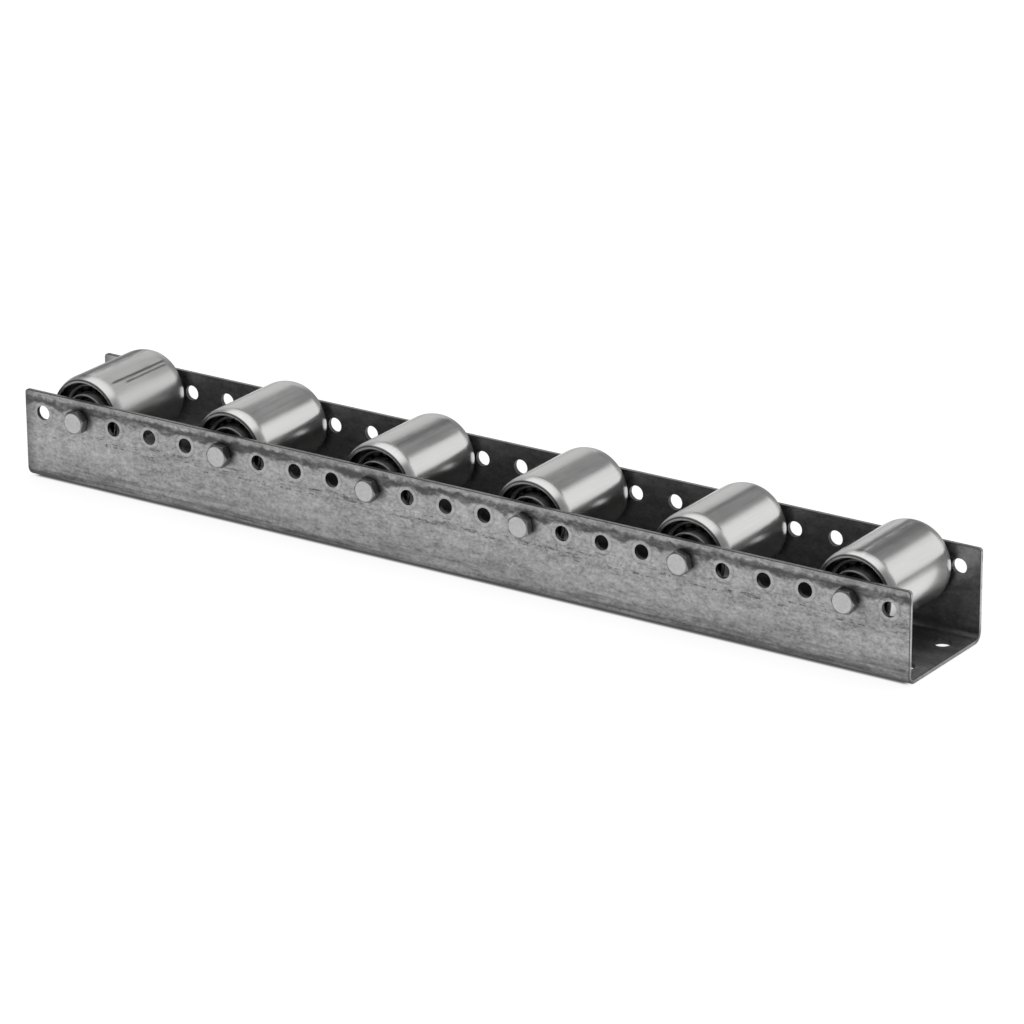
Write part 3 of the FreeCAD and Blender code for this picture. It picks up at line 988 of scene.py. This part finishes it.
def hexNutTree():
    tree, given, end = newShapeTree("hexNut", {
        "Geometry": "Geometry", "Across Flats": "Float", "Face Diameter": "Float", "Height": "Float",
        "Bore": "Float", "Mouth Depth": "Float", "Material": "Material"})
    body = hexagonTurnedOff(tree, given, given["Height"], 2)
    radius = times(tree, given["Bore"], 0.5)
    longer = times(tree, given["Height"], 2.0)
    bore = shape(tree, "MeshCylinder", {
        "Vertices": fasteners["shankSides"], "Radius": radius, "Depth": longer})
    mouthRadius = plus(tree, radius, given["Mouth Depth"])
    beyond = plus(tree, mouthRadius, given["Mouth Depth"])
    doubleMouth = times(tree, given["Mouth Depth"], 2.0)
    mouth = shape(tree, "MeshCone", {
        "Vertices": fasteners["shankSides"], "Radius Bottom": radius, "Radius Top": beyond,
        "Depth": doubleMouth})
    mouth = moved(tree, mouth, z=minus(tree, given["Height"], given["Mouth Depth"]))
    for cutter in (bore, mouth):
        body = shape(tree, "MeshBoolean", {"Mesh 1": body, "Mesh 2": cutter},
                     operation="DIFFERENCE", solver="EXACT")
    finishTree(tree, end, onAxles(tree, given, edgesToRound(tree, body)), given["Material"])
    return tree


def axlePoints(name, side):
    # One point for each axle at a given side of the channel, with the turn of its hexagon
    mesh = bpy.data.meshes.new(name)
    middle = (track["rollerCount"] - 1) / 2
    places = [((n - middle) * track["rollerPitch"], side, axleHeight) for n in range(track["rollerCount"])]
    mesh.from_pydata(places, [], [])
    turns = mesh.attributes.new("turn", "FLOAT", "POINT")
    for item, turn in zip(turns.data, fasteners["turns"]):
        item.value = math.radians(turn)
    return mesh


hexBolt = {
    "Across Flats": fasteners["acrossFlats"],
    "Face Diameter": fasteners["faceDiameter"],
    "Head Height": channelLow.y - boltLow.y,
    "Washer Height": 0.4 * mm,
    "Diameter": 7.94 * mm,
    "Length": boltHigh.y - channelLow.y,
    "Thread Length": 11.0 * mm,
    "Thread Pitch": fasteners["threadPitch"],
    "Thread Depth": 0.85 * mm,
    "Tip Chamfer": 0.9 * mm,
    "Material": finishes["bolt"],
}
hexNut = {
    "Across Flats": fasteners["acrossFlats"],
    "Face Diameter": fasteners["faceDiameter"],
    "Height": nutHigh.y - nutLow.y,
    "Bore": 8.0 * mm,
    "Mouth Depth": 0.5 * mm,
    "Material": finishes["nut"],
}
fastenerEdges = {"width": 0.15 * mm, "segments": 2, "finish": finishes["worn"]}
axles = range(1, track["rollerCount"] + 1)
makePiece("axleBolts", hexBoltTree(), hexBolt, axlePoints("boltPlaces", channelLow.y), fastenerEdges,
          "channel", [f"axle_{n}_bolt" for n in axles])
makePiece("axleNuts", hexNutTree(), hexNut, axlePoints("nutPlaces", channelHigh.y), fastenerEdges,
          "channel", [f"axle_{n}_nut" for n in axles])


# Floor, light and camera

studio = {
    "floorSize": 60.0,
    "floorDrop": 0.2 * mm,
    "floorGrey": 0.30,
    "floorGlow": 0.88,  # for the camera
    "mirroredGlow": 0.80,  # for the metal, down to the next one close to the channel
    "contactGlow": 0.34,
    "contactReach": 42 * mm,
    "behind": (0.15, 0.6),  # how far back the mirrored floor dims, and its share past that
    "behindShare": 0.5,
    "foldShadow": (-12 * mm, -8 * mm, -4.2 * mm, -1.4 * mm),  # across, from the channel's side
    "foldShadowEnd": (-6 * mm, -1 * mm),  # along, from the channel's end
    "underFold": 0.14,
    "worldLevel": 0.26,
}


def layFloor():
    half = studio["floorSize"] / 2
    low = -studio["floorDrop"]
    mesh = bpy.data.meshes.new("floor")
    mesh.from_pydata([(-half, -half, low), (half, -half, low), (half, half, low), (-half, half, low)],
                     [], [(0, 1, 2, 3)])
    floor = bpy.data.objects.new("floor", mesh)
    bpy.context.scene.collection.objects.link(floor)
    material, tree, shader, place = newFinish(
        "paleFloor", Base_Color=grey(studio["floorGrey"]), Roughness=0.9, Specular_IOR_Level=0.0,
        Emission_Color=grey(1.0))

    # Painted contact shadow: in the metal's reflections the floor grows dark towards the channel that stands
    # on it
    beyond = vectorMath(tree, "SUBTRACT", vectorMath(tree, "ABSOLUTE", place)[0],
                        (channelHigh.x, channelHigh.y, 0.0))[0]
    away = vectorMath(tree, "LENGTH", vectorMath(tree, "MAXIMUM", beyond)[0])["Value"]
    mirrored = remap(tree, away, 0.0, studio["contactReach"], studio["contactGlow"], studio["mirroredGlow"],
                     smooth=False)
    farBack = remap(tree, separated(tree, place)["Y"], *studio["behind"], 1.0, studio["behindShare"])
    mirrored = times(tree, mirrored, farBack)

    # Painted shadow: under the rounded folds the floor is dark
    x, y, _ = separated(tree, beyond)
    under = times(tree, between(tree, y, *studio["foldShadow"]),
                  fading(tree, x, *studio["foldShadowEnd"]))
    uncovered = math2(tree, "MULTIPLY_ADD", under, studio["underFold"] - 1.0, 1.0)
    seen = addNode(tree, "ShaderNodeLightPath").outputs
    reflected = math2(tree, "MAXIMUM", seen["Is Glossy Ray"], seen["Is Transmission Ray"])
    strength = math2(tree, "MULTIPLY_ADD", seen["Is Camera Ray"], studio["floorGlow"],
                     times(tree, reflected, mirrored))
    tree.links.new(times(tree, strength, uncovered), shader.inputs["Emission Strength"])
    mesh.materials.append(material)


def lightWorld():
    world = bpy.data.worlds.new("studioWorld")
    bpy.context.scene.world = world
    world.use_nodes = True
    tree = world.node_tree
    backdrop = tree.nodes["Background"]
    seen = addNode(tree, "ShaderNodeLightPath").outputs
    backdrop.inputs["Color"].default_value = grey(1.0)
    tree.links.new(math2(tree, "MAXIMUM", seen["Is Camera Ray"], studio["worldLevel"]),
                   backdrop.inputs["Strength"])


softboxes = {
    "overheadSoftbox": {
        "place": (-0.1, 0.55, 1.9), "aim": (-0.1, 0.55, 0.0), "size": (3.3, 2.1), "level": 0.95},
    "backRightSoftbox": {
        "place": (1.1, 1.7, 0.75), "aim": (0.0, 0.0, 0.04), "size": (1.3, 1.1), "level": 0.70},
    "backLeftSoftbox": {
        "place": (-1.5, 1.9, 0.80), "aim": (0.0, 0.0, 0.04), "size": (1.6, 1.3), "level": 0.40},
}


def hangSoftboxes():
    for name, box in softboxes.items():
        lamp = bpy.data.lights.new(name, "AREA")
        lamp.shape = "RECTANGLE"
        lamp.size, lamp.size_y = box["size"]
        lamp.energy = box["level"] * math.pi * lamp.size * lamp.size_y
        light = bpy.data.objects.new(name, lamp)
        light.location = box["place"]
        light.rotation_euler = (Vector(box["aim"]) - light.location).to_track_quat("-Z", "Y").to_euler()
        light.visible_camera = False
        bpy.context.scene.collection.objects.link(light)


view = {
    "place": (1.58986, -2.31678, 1.08597),
    "azimuth": 34.154,  # degrees, as the next two
    "elevation": 20.683,
    "roll": -0.452,
    "lens": 191.56,
    "sensor": 36.0,
    "clip": (0.1, 100.0),
}


def setCamera():
    data = bpy.data.cameras.new("camera")
    data.lens = view["lens"]
    data.sensor_width = view["sensor"]
    data.clip_start, data.clip_end = view["clip"]
    camera = bpy.data.objects.new("camera", data)
    turn = Matrix.Rotation(math.radians(view["azimuth"]), 4, "Z")
    tilt = Matrix.Rotation(math.radians(90 - view["elevation"]), 4, "X")
    roll = Matrix.Rotation(math.radians(view["roll"]), 4, "Z")
    camera.matrix_world = Matrix.Translation(view["place"]) @ turn @ tilt @ roll
    bpy.context.scene.collection.objects.link(camera)
    bpy.context.scene.camera = camera


layFloor()
lightWorld()
hangSoftboxes()
setCamera()
bpy.context.scene.view_settings.view_transform = "Standard"
print("stage, lights and camera set")
